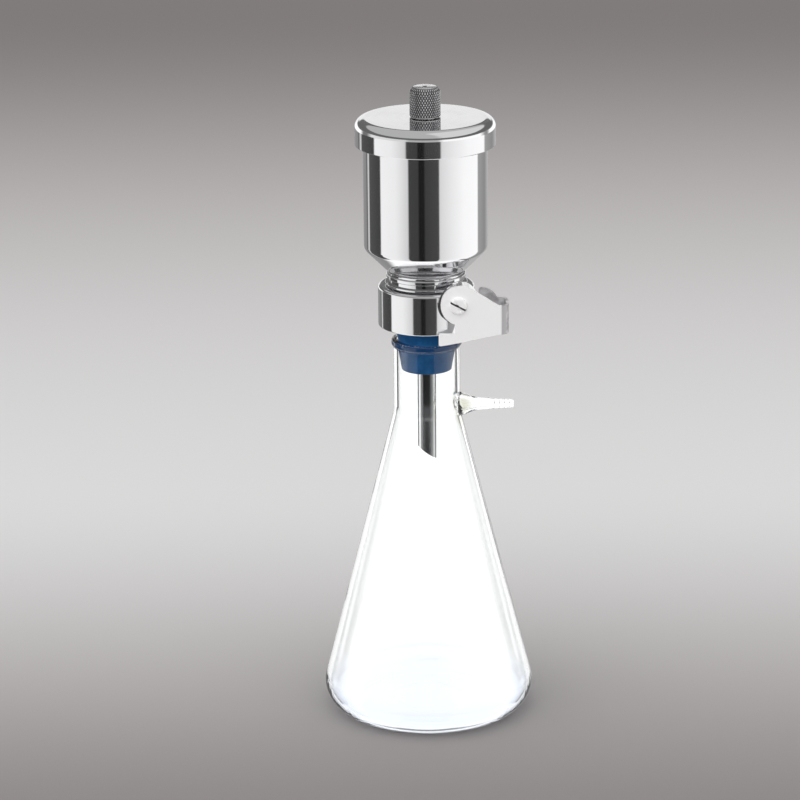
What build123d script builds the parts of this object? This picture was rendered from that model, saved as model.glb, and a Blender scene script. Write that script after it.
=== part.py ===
from build123d import *
import os
from math import cos, radians, sin, sqrt, tan

# Vacuum filtration unit: a 47 mm stainless steel filter holder with a lidded funnel and a
# quick-release clamp, plugged into a two-litre conical filter flask with a side hose nozzle.
#
# Units are millimetres. +Z is up and the origin is the centre of the flask's base, on the
# table. +X points towards the hose nozzle and the clamp lever; the lever's plate is on -Y.

# ---------------------------------------------------------------- filter flask (glass)
flask_height = 306.0
flask_body_radius = 83.0
flask_heel_radius = 21.5         # outside rounding between the base and the side
flask_side_angle = 14.3          # between the conical side and vertical, degrees
flask_neck_radius = 26.0
flask_shoulder_radius = 18.0     # hollow rounding between the side and the neck
flask_wall = 3.0
flask_neck_wall = 3.6
flask_base_thickness = 3.8
flask_punt_rise = 2.4            # how far the middle of the base is pushed up
flask_punt_radius = 28.0         # of the raised middle, before it slopes down to the ring
flask_punt_blend = 40.0
flask_ring_width = 4.5           # flat ring that stands on the table
flask_ring_blend = 4.0           # rounding on the inside of that ring
bead_projection = 1.5            # the rolled rim, beyond the neck
bead_height = 5.5
bead_edge_radius = 1.4

# ---------------------------------------------------------------- hose nozzle (on the flask)
nozzle_drop = 54.0               # its axis below the flask's rim
nozzle_tip_x = 68.0
nozzle_root_radius = 10.4
nozzle_waist_radius = 5.2
nozzle_waist_x = 42.0
nozzle_flare_radius = 12.0
nozzle_tip_radius = 2.9
nozzle_bore_radius = 1.8
nozzle_throat_radius = 5.4       # the bore where it opens into the neck
barb_count = 5
barb_pitch = 4.0
barb_land = 0.5                  # steep side of each saw tooth
barb_crest_radius = 4.7          # the barb nearest the flask
barb_last_crest_radius = 3.8     # the barb nearest the tip
barb_depth = 0.8

# ---------------------------------------------------------------- stopper (blue rubber)
stopper_length = 36.0
stopper_stand_out = 12.0         # above the flask's rim
stopper_top_radius = 24.5
stopper_bottom_radius = 19.4
stopper_edge_radius = 1.0
stopper_grip_length = 5.5        # the band squeezed to the neck's own bore

# ---------------------------------------------------------------- holder base
housing_radius = 37.5
housing_height = 32.0
housing_top_edge_radius = 2.0
housing_bottom_edge_radius = 0.8
tube_radius = 7.5
tube_wall = 1.5
tube_socket_depth = 5.0
tube_length = 110.0              # from the housing's bottom to the tip of the slanted end
tube_end_angle = 36.0            # of the slanted end, from level
frit_radius = 23.5               # supports a 47 mm membrane
frit_thickness = 3.0
frit_gasket_thickness = 1.6
frit_gasket_width = 4.0
frit_clearance = 0.2
drain_depth = 6.0                # of the cone under the frit
drain_edge_radius = 19.0         # wide end of that cone

# ---------------------------------------------------------------- funnel
funnel_radius = 48.0
funnel_wall = 1.6
funnel_cylinder_height = 98.8    # from the end of the flare to the rim
funnel_bore_radius = 17.5
funnel_cone_height = 18.4        # of the flare between the neck and the cylinder
funnel_neck_fillet = 1.6
funnel_heel_radius = 6.0
funnel_throat_blend = 3.0        # inside, between the bore and the cone
funnel_neck_radius = 29.6
funnel_rim_radius = 50.8         # the rolled rim under the lid
funnel_rim_height = 4.4
rolled_edge_radius = 0.8         # of the rolled rim and the neck's ring
neck_ring_radius = 30.9
neck_ring_height = 3.5
neck_groove_height = 3.4         # between the neck's ring and the flange
neck_upper_groove_height = 1.7   # between the neck's ring and the flare
flange_radius = 32.0
flange_thickness = 1.8
flange_lift = 0.8                # the flange stands this far above the housing
spigot_radius = 25.0
spigot_clearance = 0.4
spigot_foot_height = 4.4         # the collar that the locking shaft holds down
spigot_groove_fillet = 0.6
membrane_gap = 0.4               # between the funnel's foot and the frit
o_ring_radius = 20.8
o_ring_section = 2.4

# ---------------------------------------------------------------- lid and vent
lid_radius = 54.2
lid_height = 21.0
lid_thickness = 1.8
lid_edge_radius = 7.4
lid_inner_edge_radius = 4.5
lid_skirt_wall = 1.7
lid_hem_radius = 0.6
lid_gasket_thickness = 1.8
lid_gasket_width = 3.4
lid_gasket_inset = 2.8           # from the outside of the funnel's rim
stud_radius = 5.0
stud_collar_radius = 8.6
stud_collar_height = 2.0
stud_thread_length = 7.0
stud_tail_radius = 4.0
vent_radius = 1.7
stud_washer_radius = 8.0
stud_gasket_thickness = 1.0
stud_nut_across_flats = 13.0
stud_nut_height = 3.2
stud_nut_chamfer = 0.7
stud_end_margin = 0.6            # of the stud below its nut
knob_radius = 12.0
knob_height = 23.4
knob_top_radius = 8.4
knob_shoulder_height = 5.2
knob_shoulder_radius = 7.0
knob_crown_radius = 10.2
knob_crown_height = 1.4
knob_crown_blend = 2.0
knob_seam = 0.6                  # gap between the knob and the lid
knob_wall_clearance = 0.08
knob_ring_section = 1.6
vent_filter_radius = 4.6
vent_filter_thickness = 2.0

# ---------------------------------------------------------------- quick-release clamp
pivot_x = 24.5                   # the locking shaft lies along Y, beside the funnel's spigot
pivot_drop = 7.0                 # below the top of the housing
shaft_radius = 4.5
shaft_running_clearance = 0.06
shaft_groove_clearance = 0.2
shaft_through_clearance = 0.3
shaft_end_margin = 1.2           # of the shaft beyond its clip
release_angle = 45.0             # turn of the lever that frees the funnel
bush_wall = 1.5
bush_end_gap = 0.4               # between a bush's inner end and the pocket
boss_radius = 15.3
boss_stand_out = 0.4             # of the boss's face beyond the housing's front
boss_length = 15.9
lever_gap = 0.2
lever_sheet = 2.0
lever_bend_radius = 8.0          # outside
lever_reach = 38.9               # from the pivot to the outside of the end web
lever_return_y = 1.0             # middle of the short return flange
lever_return_length = 22.8       # of the return, from the web to its free end
lever_return_rise = 4.0          # of the return's free end above the pivot
lever_return_drop = 21.0         # and below it
lever_return_corner = 2.5
lever_return_blend = 8.0
lever_return_knee_reach = 12.4   # of the bend in its top edge, from the web
lever_return_knee_rise = 2.0     # of that bend above the pivot
lever_web_fall = 4.3             # of the web's top edge, from the plate to the return
lever_head_radius = 15.6
lever_head_shift = 2.1           # of the head's centre from the pivot
lever_top_angle = 33.0           # slope of the top edge, degrees
lever_bottom_angle = 12.0        # slope of the bottom edge, degrees
lever_end_drop = 23.2            # of the plate's lower corner at the end, below the pivot
lever_shoulder_blend = 2.0
lever_top_blend = 6.0
lever_bottom_blend = 4.0
lever_heel_blend = 20.0
lever_toe_reach = 15.2           # from the pivot, towards the housing's middle
lever_toe_drop = 22.4            # of the toe's top edge below the pivot
lever_toe_width = 10.0
lever_toe_corner = 1.5
lever_notch_shift = 2.7          # of the notch behind the pivot
lever_notch_corner = 0.8
shaft_square = 6.0               # across the flats that drive the lever
screw_head_radius = 6.6
screw_head_height = 3.0
screw_head_blend = 1.8
screw_shank_radius = 2.0
screw_shank_length = 9.0
screw_hole_margin = 3.0          # the tapped hole is deeper than the screw
screw_slot_width = 1.4
screw_slot_depth = 1.2
screw_slot_angle = -28.0
clip_radius = 6.8
clip_thickness = 1.0
clip_groove_depth = 0.6
clip_float = 0.2
clip_mouth = 5.8                 # width of its open side
spot_face_radius = 8.0
spot_face_depth = 3.4            # into the housing's rear, on the shaft's axis

edge_break = 0.4                 # plain broken edge of turned pieces
cutter_overrun = 1.0             # how far a cutting shape runs past what it cuts

# ---------------------------------------------------------------- levels worked out from these
nozzle_height = flask_height - nozzle_drop
neck_bore_radius = flask_neck_radius - flask_neck_wall
housing_bottom = flask_height + stopper_stand_out
housing_top = housing_bottom + housing_height
tube_bore_radius = tube_radius - tube_wall
drain_bottom = housing_bottom + tube_socket_depth
frit_ledge = drain_bottom + drain_depth
frit_bottom = frit_ledge + frit_gasket_thickness
frit_top = frit_bottom + frit_thickness
pocket_radius = spigot_radius + spigot_clearance
spigot_bottom = frit_top + membrane_gap
flange_bottom = housing_top + flange_lift
flange_top = flange_bottom + flange_thickness
neck_ring_bottom = flange_top + neck_groove_height
neck_ring_top = neck_ring_bottom + neck_ring_height
funnel_cone_bottom = neck_ring_top + neck_upper_groove_height
funnel_cone_top = funnel_cone_bottom + funnel_cone_height
funnel_top = funnel_cone_top + funnel_cylinder_height
lid_under = funnel_top + lid_gasket_thickness
lid_top = lid_under + lid_thickness
stud_collar_top = lid_top + stud_collar_height
stud_top = stud_collar_top + stud_thread_length
stud_nut_top = lid_under - stud_gasket_thickness
stud_bottom = stud_nut_top - stud_nut_height - stud_end_margin
knob_bottom = lid_top + knob_seam
knob_seat = stud_collar_top + knob_wall_clearance
knob_ring_level = knob_seat + knob_ring_section
pivot_z = housing_top - pivot_drop
groove_radius = pivot_x - shaft_radius - shaft_groove_clearance
bush_radius = shaft_radius + shaft_running_clearance + bush_wall
bush_inner_y = sqrt(pocket_radius**2 - (pivot_x - bush_radius) ** 2) + bush_end_gap
spot_face_y = sqrt(housing_radius**2 - pivot_x**2) - spot_face_depth
clip_y = spot_face_y + clip_float
boss_face_y = -housing_radius - boss_stand_out
boss_back_y = boss_face_y + boss_length
lever_face_y = boss_face_y - lever_gap
lever_front_y = lever_face_y - lever_sheet
lever_end_x = pivot_x + lever_reach


def corner_face(plane, corners):
    """A flat face from corners (a, b) or (a, b, rounding radius)."""
    points = [corner[:2] for corner in corners]
    radii = [corner[2] if len(corner) > 2 else 0 for corner in corners]
    return plane * make_face(FilletPolyline(*points, radius=radii, close=True))


def turned(*corners):
    """A solid turned about the Z axis from corners (radius, height[, rounding])."""
    return revolve(corner_face(Plane.XZ, corners), Axis.Z)


def ring(outer_radius, inner_radius, bottom, height):
    """A flat ring about the Z axis, or a plain disc where the inner radius is 0."""
    section = Circle(outer_radius)
    if inner_radius:
        section -= Circle(inner_radius)
    return Pos(0, 0, bottom) * extrude(section, height)


def rod_y(radius, y_start, y_end):
    """A round bar along Y on the clamp's axis."""
    disc = Plane(origin=(pivot_x, y_start, pivot_z), z_dir=(0, 1, 0)) * Circle(radius)
    return extrude(disc, y_end - y_start)


def torus_ring(centre_radius, section, height):
    """An O-ring about the Z axis, its section centred at that height."""
    disc = Plane.XZ * Pos(centre_radius, height) * Circle(section / 2)
    return revolve(disc, Axis.Z)


# ---------------------------------------------------------------- flask
def side_radius(height, inset=0.0):
    """Radius of the flask's conical side at a height, moved in by a wall thickness."""
    slope = radians(flask_side_angle)
    tangent_r = flask_body_radius - flask_heel_radius * (1 - cos(slope))
    tangent_z = flask_heel_radius * (1 + sin(slope))
    return tangent_r - (height - tangent_z) * tan(slope) - inset / cos(slope)


def shoulder_height(neck_radius, inset=0.0):
    """Height where the conical side would meet a neck of that radius."""
    slope = radians(flask_side_angle)
    return (side_radius(0, inset) - neck_radius) / tan(slope)


def flask_body():
    """Blown body: pushed-up base, rounded heel, conical side, straight neck and rolled rim."""
    ring_outer = flask_body_radius - flask_heel_radius
    ring_inner = ring_outer - flask_ring_width
    bead_radius = flask_neck_radius + bead_projection
    floor = flask_base_thickness
    inner_heel = flask_heel_radius - flask_wall
    return turned(
        (0, flask_punt_rise),
        (flask_punt_radius, flask_punt_rise, flask_punt_blend),
        (ring_inner, 0, flask_ring_blend),
        (side_radius(0), 0, flask_heel_radius),
        (flask_neck_radius, shoulder_height(flask_neck_radius), flask_shoulder_radius),
        (flask_neck_radius, flask_height - bead_height, bead_edge_radius),
        (bead_radius, flask_height - bead_height + bead_projection, bead_edge_radius),
        (bead_radius, flask_height, bead_edge_radius),
        (neck_bore_radius, flask_height, bead_edge_radius),
        (neck_bore_radius, shoulder_height(neck_bore_radius, flask_wall), flask_shoulder_radius),
        (side_radius(floor, flask_wall), floor, inner_heel),
        (ring_inner, floor, flask_ring_blend),
        (flask_punt_radius, floor + flask_punt_rise, flask_punt_blend),
        (0, floor + flask_punt_rise),
    )


def turned_x(*corners):
    """A solid turned about the nozzle's axis from corners (x, radius[, rounding])."""
    plane = Plane(origin=(0, 0, nozzle_height), x_dir=(1, 0, 0), z_dir=(0, -1, 0))
    return revolve(corner_face(plane, corners), Axis((0, 0, nozzle_height), (1, 0, 0)))


def hose_nozzle():
    """Flared root, waist and saw-tooth barbs that widen away from the tip."""
    start_x = flask_neck_radius - flask_neck_wall / 2
    barbs_x = nozzle_tip_x - barb_count * barb_pitch
    corners = [
        (start_x, 0),
        (start_x, nozzle_root_radius),
        (nozzle_waist_x - barb_pitch, nozzle_waist_radius, nozzle_flare_radius),
        (barbs_x, nozzle_waist_radius - barb_depth),
    ]
    crest_step = (barb_crest_radius - barb_last_crest_radius) / (barb_count - 1)
    for index in range(barb_count):
        crest = barb_crest_radius - index * crest_step
        x = barbs_x + index * barb_pitch
        foot = nozzle_tip_radius if index == barb_count - 1 else crest - barb_depth
        corners += [(x + barb_land, crest), (x + barb_pitch, foot)]
    corners.append((nozzle_tip_x, 0))
    return turned_x(*corners)


def nozzle_bore():
    """Bore of the nozzle, wide where it leaves the neck."""
    start_x = neck_bore_radius - 2 * cutter_overrun
    end_x = nozzle_tip_x + cutter_overrun
    return turned_x(
        (start_x, 0),
        (start_x, nozzle_throat_radius),
        (nozzle_waist_x, nozzle_bore_radius, nozzle_flare_radius),
        (end_x, nozzle_bore_radius),
        (end_x, 0),
    )


def filter_flask():
    """The flask's body with the hose nozzle fused to its neck and bored through."""
    inside_neck = Pos(0, 0, nozzle_height) * Cylinder(neck_bore_radius, 4 * nozzle_root_radius)
    return flask_body() + (hose_nozzle() - inside_neck) - nozzle_bore()


def rubber_stopper():
    """Tapered stopper, squeezed to the neck's bore where it grips and bored for the tube."""
    bottom = housing_bottom - stopper_length
    grip_top = flask_height - bead_edge_radius / 3
    return turned(
        (tube_radius, bottom),
        (stopper_bottom_radius, bottom, stopper_edge_radius),
        (neck_bore_radius, grip_top - stopper_grip_length),
        (neck_bore_radius, grip_top),
        (stopper_top_radius, housing_bottom, stopper_edge_radius),
        (tube_radius, housing_bottom),
    )


# ---------------------------------------------------------------- holder base
def base_housing():
    """Turned cup for the spigot, with a frit ledge, a drain cone and the clamp's cross bore."""
    body = turned(
        (tube_radius, housing_bottom),
        (housing_radius, housing_bottom, housing_bottom_edge_radius),
        (housing_radius, housing_top, housing_top_edge_radius),
        (pocket_radius, housing_top, housing_bottom_edge_radius),
        (pocket_radius, frit_top),
        (frit_radius + frit_clearance, frit_top),
        (frit_radius + frit_clearance, frit_ledge),
        (drain_edge_radius, frit_ledge),
        (tube_bore_radius, drain_bottom),
        (tube_radius, drain_bottom),
    )
    through = rod_y(shaft_radius + shaft_through_clearance, -housing_radius, housing_radius)
    bush_seats = rod_y(bush_radius, -housing_radius, -bush_inner_y)
    bush_seats += rod_y(bush_radius, bush_inner_y, housing_radius)
    spot_face = rod_y(spot_face_radius, spot_face_y, housing_radius)
    return body - through - bush_seats - spot_face


def outlet_tube():
    """Drain tube with a slanted lower end, its tip towards +X."""
    tip = housing_bottom - tube_length
    tube = ring(tube_radius, tube_bore_radius, tip, drain_bottom - tip)
    slant = Plane(
        origin=(tube_radius, 0, tip),
        x_dir=(0, 1, 0),
        z_dir=(-sin(radians(tube_end_angle)), 0, -cos(radians(tube_end_angle))),
    )
    return tube - extrude(slant * Rectangle(6 * tube_radius, 6 * tube_radius), 4 * tube_radius)


def filter_frit():
    """Sintered disc that supports the membrane."""
    return ring(frit_radius, 0, frit_bottom, frit_thickness)


def frit_gasket():
    """Flat seal under the frit."""
    return ring(frit_radius, frit_radius - frit_gasket_width, frit_ledge, frit_gasket_thickness)


# ---------------------------------------------------------------- funnel
def funnel():
    """Foot with the locking groove, flange, ringed neck, flare, cylinder and rolled rim."""
    inner = funnel_radius - funnel_wall
    groove_bottom = spigot_bottom + spigot_foot_height
    groove_top = pivot_z + shaft_radius + shaft_groove_clearance
    rim_bottom = funnel_top - funnel_rim_height
    body = turned(
        (funnel_bore_radius, spigot_bottom),
        (spigot_radius, spigot_bottom, edge_break),
        (spigot_radius, groove_bottom, edge_break),
        (groove_radius, groove_bottom, spigot_groove_fillet),
        (groove_radius, groove_top, spigot_groove_fillet),
        (spigot_radius, groove_top),
        (spigot_radius, flange_bottom),
        (flange_radius, flange_bottom, edge_break),
        (flange_radius, flange_top, edge_break),
        (funnel_neck_radius, flange_top),
        (funnel_neck_radius, neck_ring_bottom),
        (neck_ring_radius, neck_ring_bottom, rolled_edge_radius),
        (neck_ring_radius, neck_ring_top, rolled_edge_radius),
        (funnel_neck_radius, neck_ring_top),
        (funnel_neck_radius, funnel_cone_bottom, funnel_neck_fillet),
        (funnel_radius, funnel_cone_top, funnel_heel_radius),
        (funnel_radius, rim_bottom),
        (funnel_rim_radius, rim_bottom, rolled_edge_radius),
        (funnel_rim_radius, funnel_top, rolled_edge_radius),
        (inner, funnel_top, edge_break),
        (inner, funnel_cone_top + funnel_wall / 2, funnel_heel_radius - funnel_wall),
        (funnel_bore_radius, flange_top, funnel_throat_blend),
    )
    return body - torus_ring(o_ring_radius, o_ring_section, frit_top + o_ring_section / 2)


def funnel_o_ring():
    """Ring in the funnel's foot that presses the membrane on the frit."""
    return torus_ring(o_ring_radius, o_ring_section, frit_top + o_ring_section / 2)


# ---------------------------------------------------------------- lid and vent
def funnel_lid():
    """Drawn lid: flat top, rounded edge and a skirt with a hemmed lower edge."""
    bottom = lid_top - lid_height
    inner = lid_radius - lid_skirt_wall
    return turned(
        (stud_tail_radius, lid_under),
        (inner, lid_under, lid_inner_edge_radius),
        (inner, bottom, lid_hem_radius),
        (lid_radius, bottom, lid_hem_radius),
        (lid_radius, lid_top, lid_edge_radius),
        (stud_tail_radius, lid_top),
    )


def lid_gasket():
    """Flat seal between the funnel's rim and the lid."""
    outer = funnel_rim_radius - lid_gasket_inset
    return ring(outer, outer - lid_gasket_width, funnel_top, lid_gasket_thickness)


def vent_stud():
    """Hollow stud: its collar sits on the lid, the knob screws on above it."""
    return turned(
        (vent_radius, stud_bottom),
        (stud_tail_radius, stud_bottom, edge_break),
        (stud_tail_radius, lid_top),
        (stud_collar_radius, lid_top),
        (stud_collar_radius, stud_collar_top, edge_break),
        (stud_radius, stud_collar_top),
        (stud_radius, stud_top, edge_break),
        (vent_radius, stud_top),
    )


def stud_gasket():
    """Flat washer that seals the stud under the lid."""
    return ring(stud_washer_radius, stud_tail_radius, stud_nut_top, stud_gasket_thickness)


def stud_nut():
    """Hexagon nut under the lid that holds the stud."""
    hexagon = RegularPolygon(stud_nut_across_flats / 2, 6, major_radius=False)
    nut = extrude(hexagon - Circle(stud_tail_radius), stud_nut_height)
    corner_radius = stud_nut_across_flats / sqrt(3)
    blank = ring(corner_radius, 0, 0, stud_nut_height)
    blank = chamfer(blank.edges().filter_by(GeomType.CIRCLE), stud_nut_chamfer)
    return Pos(0, 0, stud_nut_top - stud_nut_height) * (nut & blank)


def vent_knob():
    """Domed screw cap over the stud, with the vent hole through its top."""
    top = knob_bottom + knob_height
    bore = stud_radius + knob_wall_clearance
    collar_bore = stud_collar_radius + knob_wall_clearance
    ceiling = stud_top + vent_filter_thickness + knob_wall_clearance
    groove = bore + knob_ring_section
    ring_low = knob_ring_level - knob_ring_section / 2 - knob_wall_clearance
    ring_high = knob_ring_level + knob_ring_section / 2 + knob_wall_clearance
    return turned(
        (collar_bore, knob_bottom),
        (knob_radius, knob_bottom, edge_break),
        (knob_radius, top - knob_shoulder_height, knob_shoulder_radius),
        (knob_crown_radius, top - knob_crown_height, knob_crown_blend),
        (knob_top_radius, top, edge_break),
        (vent_radius, top, edge_break),
        (vent_radius, ceiling),
        (bore, ceiling),
        (bore, ring_high),
        (groove, ring_high),
        (groove, ring_low),
        (bore, ring_low),
        (bore, knob_seat),
        (collar_bore, knob_seat),
    )


def knob_o_ring():
    """Ring in the knob's groove that seals and steadies it on the stud."""
    centre = stud_radius + knob_wall_clearance / 2 + knob_ring_section / 2
    return torus_ring(centre, knob_ring_section - knob_wall_clearance, knob_ring_level)


def vent_filter():
    """Small felt disc that keeps dust out of the vent."""
    return ring(vent_filter_radius, 0, stud_top, vent_filter_thickness)


# ---------------------------------------------------------------- quick-release clamp
def pivot_boss():
    """Round boss on the housing's side, saddle-cut to its wall; the lever turns on its face."""
    boss = rod_y(boss_radius, boss_face_y, boss_back_y)
    saddle = Pos(0, 0, pivot_z) * Cylinder(housing_radius, 4 * boss_radius)
    return boss - saddle - rod_y(bush_radius, boss_face_y, boss_back_y)


def bush(y_start, y_end):
    """Plain bush for the locking shaft."""
    bore = shaft_radius + shaft_running_clearance
    return rod_y(bush_radius, y_start, y_end) - rod_y(bore, y_start, y_end)


def square_bar(y_start, y_end):
    """The square that drives the lever, between two levels on the clamp's axis."""
    plane = Plane(origin=(pivot_x, y_start, pivot_z), z_dir=(0, 1, 0))
    return extrude(plane * Rectangle(shaft_square, shaft_square), y_end - y_start)


def locking_shaft():
    """Cross shaft with a hollow cut that lets the spigot's foot pass when it is turned."""
    groove_end_y = clip_y + clip_thickness
    shaft = rod_y(shaft_radius, boss_face_y, groove_end_y + shaft_end_margin)
    shaft += square_bar(lever_front_y, boss_face_y)
    clip_groove = rod_y(shaft_radius, clip_y, groove_end_y)
    clip_groove -= rod_y(shaft_radius - clip_groove_depth, clip_y, groove_end_y)
    hole_end_y = lever_front_y + screw_shank_length + screw_hole_margin
    screw_hole = rod_y(screw_shank_radius, lever_front_y, hole_end_y)
    passage = Pos(0, 0, pivot_z) * Cylinder(pocket_radius, 4 * shaft_radius)
    opened = Axis((pivot_x, 0, pivot_z), (0, 1, 0))
    return shaft - clip_groove - screw_hole - passage.rotate(opened, release_angle)


def lever_plan():
    """Folded sheet seen from above: front plate, end web and a short return, as one strip."""
    inner_bend = lever_bend_radius - lever_sheet
    inner_end = lever_end_x - lever_sheet
    back = lever_return_y + lever_sheet / 2
    return_x = lever_end_x - lever_return_length
    return corner_face(
        Plane.XY,
        [
            (0, lever_front_y),
            (lever_end_x, lever_front_y, lever_bend_radius),
            (lever_end_x, back, lever_bend_radius),
            (return_x, back),
            (return_x, back - lever_sheet),
            (inner_end, back - lever_sheet, inner_bend),
            (inner_end, lever_face_y, inner_bend),
            (0, lever_face_y),
        ],
    )


def lever_end_top():
    """Level of the plate's top edge where it reaches the end web."""
    top = radians(lever_top_angle)
    run = lever_reach - lever_bend_radius - lever_head_shift
    return pivot_z + (lever_head_radius - run * sin(top)) / cos(top)


def lever_outline():
    """The plate's edge seen from the front, without its round head."""
    head_x = pivot_x + lever_head_shift
    top = radians(lever_top_angle)
    bend_x = lever_end_x - lever_bend_radius
    past_end_x = lever_end_x + cutter_overrun
    notch_x = pivot_x - lever_notch_shift
    toe_x = pivot_x - lever_toe_reach
    toe_top = pivot_z - lever_toe_drop
    end_bottom = pivot_z - lever_end_drop
    heel_bottom = end_bottom - (bend_x - notch_x) * tan(radians(lever_bottom_angle))
    shoulder = (head_x + lever_head_radius * sin(top), pivot_z + lever_head_radius * cos(top))
    return corner_face(
        Plane.XZ,
        [
            (notch_x, pivot_z),
            (*shoulder, lever_shoulder_blend),
            (bend_x, lever_end_top(), lever_top_blend),
            (past_end_x, lever_end_top()),
            (past_end_x, end_bottom),
            (bend_x, end_bottom, lever_bottom_blend),
            (notch_x, heel_bottom, lever_heel_blend),
            (toe_x, toe_top - lever_toe_width, lever_toe_corner),
            (toe_x, toe_top, lever_notch_corner),
            (notch_x, toe_top, lever_notch_corner),
        ],
    )


def return_outline():
    """The return flange's edge seen from the front."""
    return_x = lever_end_x - lever_return_length
    knee_x = lever_end_x - lever_return_knee_reach
    web_back_top = lever_end_top() - lever_web_fall
    bend_x = lever_end_x - lever_bend_radius
    past_end_x = lever_end_x + cutter_overrun
    return corner_face(
        Plane.XZ,
        [
            (return_x, pivot_z + lever_return_rise, lever_return_corner),
            (knee_x, pivot_z + lever_return_knee_rise, lever_return_blend),
            (bend_x, web_back_top, lever_return_corner),
            (past_end_x, web_back_top),
            (past_end_x, pivot_z - lever_end_drop),
            (bend_x, pivot_z - lever_return_drop, lever_return_blend),
            (return_x, pivot_z - lever_return_drop, lever_return_corner),
        ],
    )


def web_outline():
    """The web's edge seen from the side, its top edge falling from the plate to the return."""
    front_bend_y = lever_front_y + lever_bend_radius
    back_bend_y = lever_return_y + lever_sheet / 2 - lever_bend_radius
    bottom = pivot_z - 2 * lever_end_drop
    return corner_face(
        Location(),
        [
            (lever_front_y - cutter_overrun, bottom),
            (lever_front_y - cutter_overrun, lever_end_top()),
            (front_bend_y, lever_end_top(), lever_return_blend),
            (back_bend_y, lever_end_top() - lever_web_fall, lever_return_blend),
            (lever_return_y + lever_bend_radius, lever_end_top() - lever_web_fall),
            (lever_return_y + lever_bend_radius, bottom),
        ],
    )


def clamp_lever():
    """One folded sheet: plate with a round head and a toe, thumb web and short return."""
    half_height = 4 * lever_head_radius
    strip = Pos(0, 0, pivot_z) * extrude(lever_plan(), half_height, both=True)
    web_y = (lever_face_y + lever_return_y) / 2
    head = Plane.XZ * Pos(pivot_x + lever_head_shift, pivot_z) * Circle(lever_head_radius)
    plate_edge = Pos(0, web_y, 0) * extrude(head + lever_outline(), half_height)
    return_edge = Pos(0, web_y, 0) * extrude(return_outline(), -half_height)
    web_start = Plane.YZ.offset(lever_end_x - lever_bend_radius)
    web_edge = extrude(web_start * web_outline(), lever_bend_radius + cutter_overrun)
    blank = split(strip, web_start, keep=Keep.BOTTOM) + (strip & web_edge)
    hole = square_bar(lever_front_y - cutter_overrun, lever_face_y + cutter_overrun)
    return (blank & plate_edge) + (blank & return_edge) - hole


def lever_screw():
    """Slotted pan-head screw that holds the lever on the shaft's square end."""
    top_y = lever_front_y - screw_head_height
    head = rod_y(screw_head_radius, top_y, lever_front_y)
    head = fillet(head.edges().sort_by(Axis.Y)[0], screw_head_blend)
    slot = Plane(origin=(pivot_x, top_y, pivot_z), z_dir=(0, 1, 0)) * Rot(0, 0, screw_slot_angle)
    slot_bar = extrude(slot * Rectangle(3 * screw_head_radius, screw_slot_width), screw_slot_depth)
    shank = rod_y(screw_shank_radius, lever_front_y, lever_front_y + screw_shank_length)
    return head - slot_bar + shank


def shaft_clip():
    """Retaining ring in the shaft's groove, open on one side."""
    clip_end_y = clip_y + clip_thickness
    clip = rod_y(clip_radius, clip_y, clip_end_y)
    clip -= rod_y(shaft_radius - clip_groove_depth, clip_y, clip_end_y)
    mouth = Pos(pivot_x, clip_y, pivot_z - clip_radius) * Box(
        clip_mouth, 4 * clip_thickness, 2 * clip_radius
    )
    return clip - mouth


PIECES = {
    "filter_flask": filter_flask,
    "rubber_stopper": rubber_stopper,
    "base_housing": base_housing,
    "outlet_tube": outlet_tube,
    "frit_gasket": frit_gasket,
    "filter_frit": filter_frit,
    "funnel": funnel,
    "funnel_o_ring": funnel_o_ring,
    "funnel_lid": funnel_lid,
    "lid_gasket": lid_gasket,
    "vent_stud": vent_stud,
    "stud_gasket": stud_gasket,
    "stud_nut": stud_nut,
    "vent_knob": vent_knob,
    "knob_o_ring": knob_o_ring,
    "vent_filter": vent_filter,
    "pivot_boss": pivot_boss,
    "front_bush": lambda: bush(boss_face_y, -bush_inner_y),
    "rear_bush": lambda: bush(bush_inner_y, spot_face_y),
    "locking_shaft": locking_shaft,
    "clamp_lever": clamp_lever,
    "lever_screw": lever_screw,
    "shaft_clip": shaft_clip,
}

os.makedirs("parts", exist_ok=True)
for name, make in PIECES.items():
    export_step(make(), f"parts/{name}.step")
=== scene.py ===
"""Looks of the vacuum filtration unit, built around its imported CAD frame.

The unit is a conical glass filter flask, a blue rubber stopper, a polished stainless holder
with a drain tube, a lidded funnel with a knurled vent knob, and a quick-release clamp lever.
Lengths are in metres and angles in degrees, unless a docstring says otherwise.
"""

import logging
from abc import ABC, abstractmethod
from dataclasses import dataclass
from enum import Enum
from math import cos, degrees, floor, pi, radians, sin, tan
from typing import Callable, TypeAlias

import bpy
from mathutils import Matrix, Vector


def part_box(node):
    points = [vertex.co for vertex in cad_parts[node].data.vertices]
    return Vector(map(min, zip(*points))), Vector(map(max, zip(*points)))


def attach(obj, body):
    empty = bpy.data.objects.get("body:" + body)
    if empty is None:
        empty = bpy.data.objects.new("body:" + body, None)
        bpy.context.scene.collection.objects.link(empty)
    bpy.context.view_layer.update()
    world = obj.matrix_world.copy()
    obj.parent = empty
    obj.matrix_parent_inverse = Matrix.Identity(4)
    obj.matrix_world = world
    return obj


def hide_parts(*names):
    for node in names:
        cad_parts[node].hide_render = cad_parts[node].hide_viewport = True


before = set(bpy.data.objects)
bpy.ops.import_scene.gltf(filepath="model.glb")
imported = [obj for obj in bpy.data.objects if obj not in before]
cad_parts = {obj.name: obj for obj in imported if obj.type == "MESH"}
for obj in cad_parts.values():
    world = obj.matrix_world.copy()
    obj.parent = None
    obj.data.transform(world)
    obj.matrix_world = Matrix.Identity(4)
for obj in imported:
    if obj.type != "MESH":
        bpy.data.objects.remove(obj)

LOG = logging.getLogger("filtration_unit")
MM = 0.001
SHARP_ANGLE = 24.0
VENT_RADIUS = 1.7 * MM
FAR_TONE = 0.224

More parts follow.
